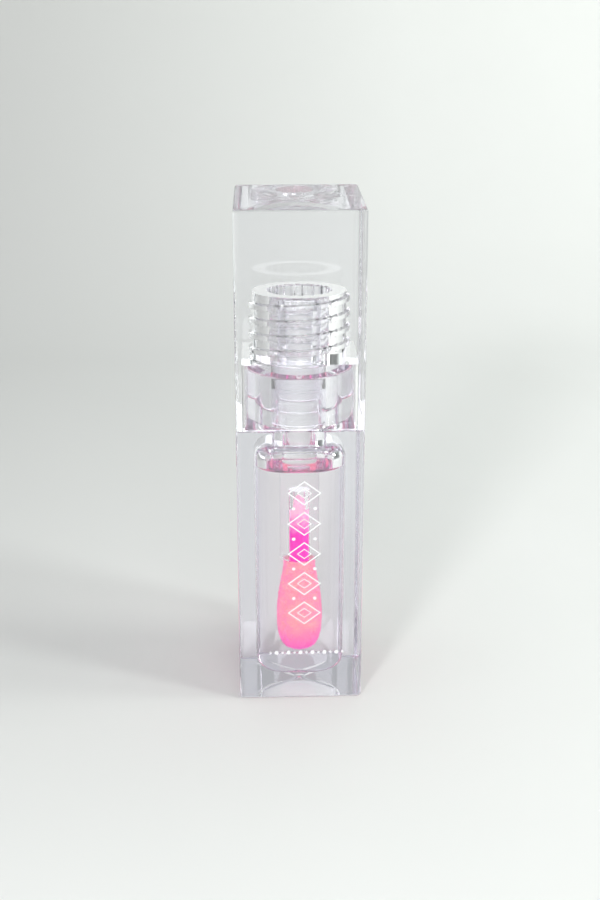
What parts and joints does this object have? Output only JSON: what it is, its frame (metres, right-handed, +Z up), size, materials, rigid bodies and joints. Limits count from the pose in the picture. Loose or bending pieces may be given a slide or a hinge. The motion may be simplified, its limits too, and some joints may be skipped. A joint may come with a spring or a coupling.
{
  "type": "lip gloss tube",
  "caption": "Square clear lip gloss tube: thick-walled bottle with a threaded neck and wiper, and a solid clear screw cap whose stem carries a flocked applicator.",
  "frame": {"origin": "centre of the bottle's flat base, on the surface it stands on", "axes": "+Z up along the tube's axis, out of the neck; -Y is the printed front; +X is to the right seen from the front"},
  "size_m": [0.02, 0.02, 0.0823],
  "materials": {
    "clear_bottle": "clear, polished, very slightly lilac",
    "clear_wiper": "clear, soft",
    "gloss": "clear liquid with a faint pink tint",
    "clear_cap": "clear, polished",
    "clear_stem": "clear, polished",
    "magenta_core": "translucent, soaked in gloss",
    "pink_flock": "short dense flock, wet",
    "white_print": "white ink of the ornament printed on the front"
  },
  "bodies": {
    "bottle": {"bottle": "clear_bottle", "wiper": "clear_wiper", "gloss_fill": "gloss"},
    "wand": {"stem": "clear_stem", "applicator_core": "magenta_core", "applicator_flock": "pink_flock"},
    "cap": {"cap": "clear_cap"}
  },
  "joints": [
    {"name": "wand_lift", "type": "slide", "parent": "bottle", "child": "wand", "axis": [0, 0, 1], "range_m": [0, 0.0721], "deforming": ["gloss_fill", "wiper"]},
    {"name": "cap_twist", "type": "hinge", "parent": "wand", "child": "cap", "pos_m": [0, 0, 0.06], "axis": [0, 0, 1], "range_deg": [0, 10800]}
  ],
  "couplings": [
    {"joint": "wand_lift", "follows": "cap_twist", "m_per_rad": 0.00038197}
  ]
}
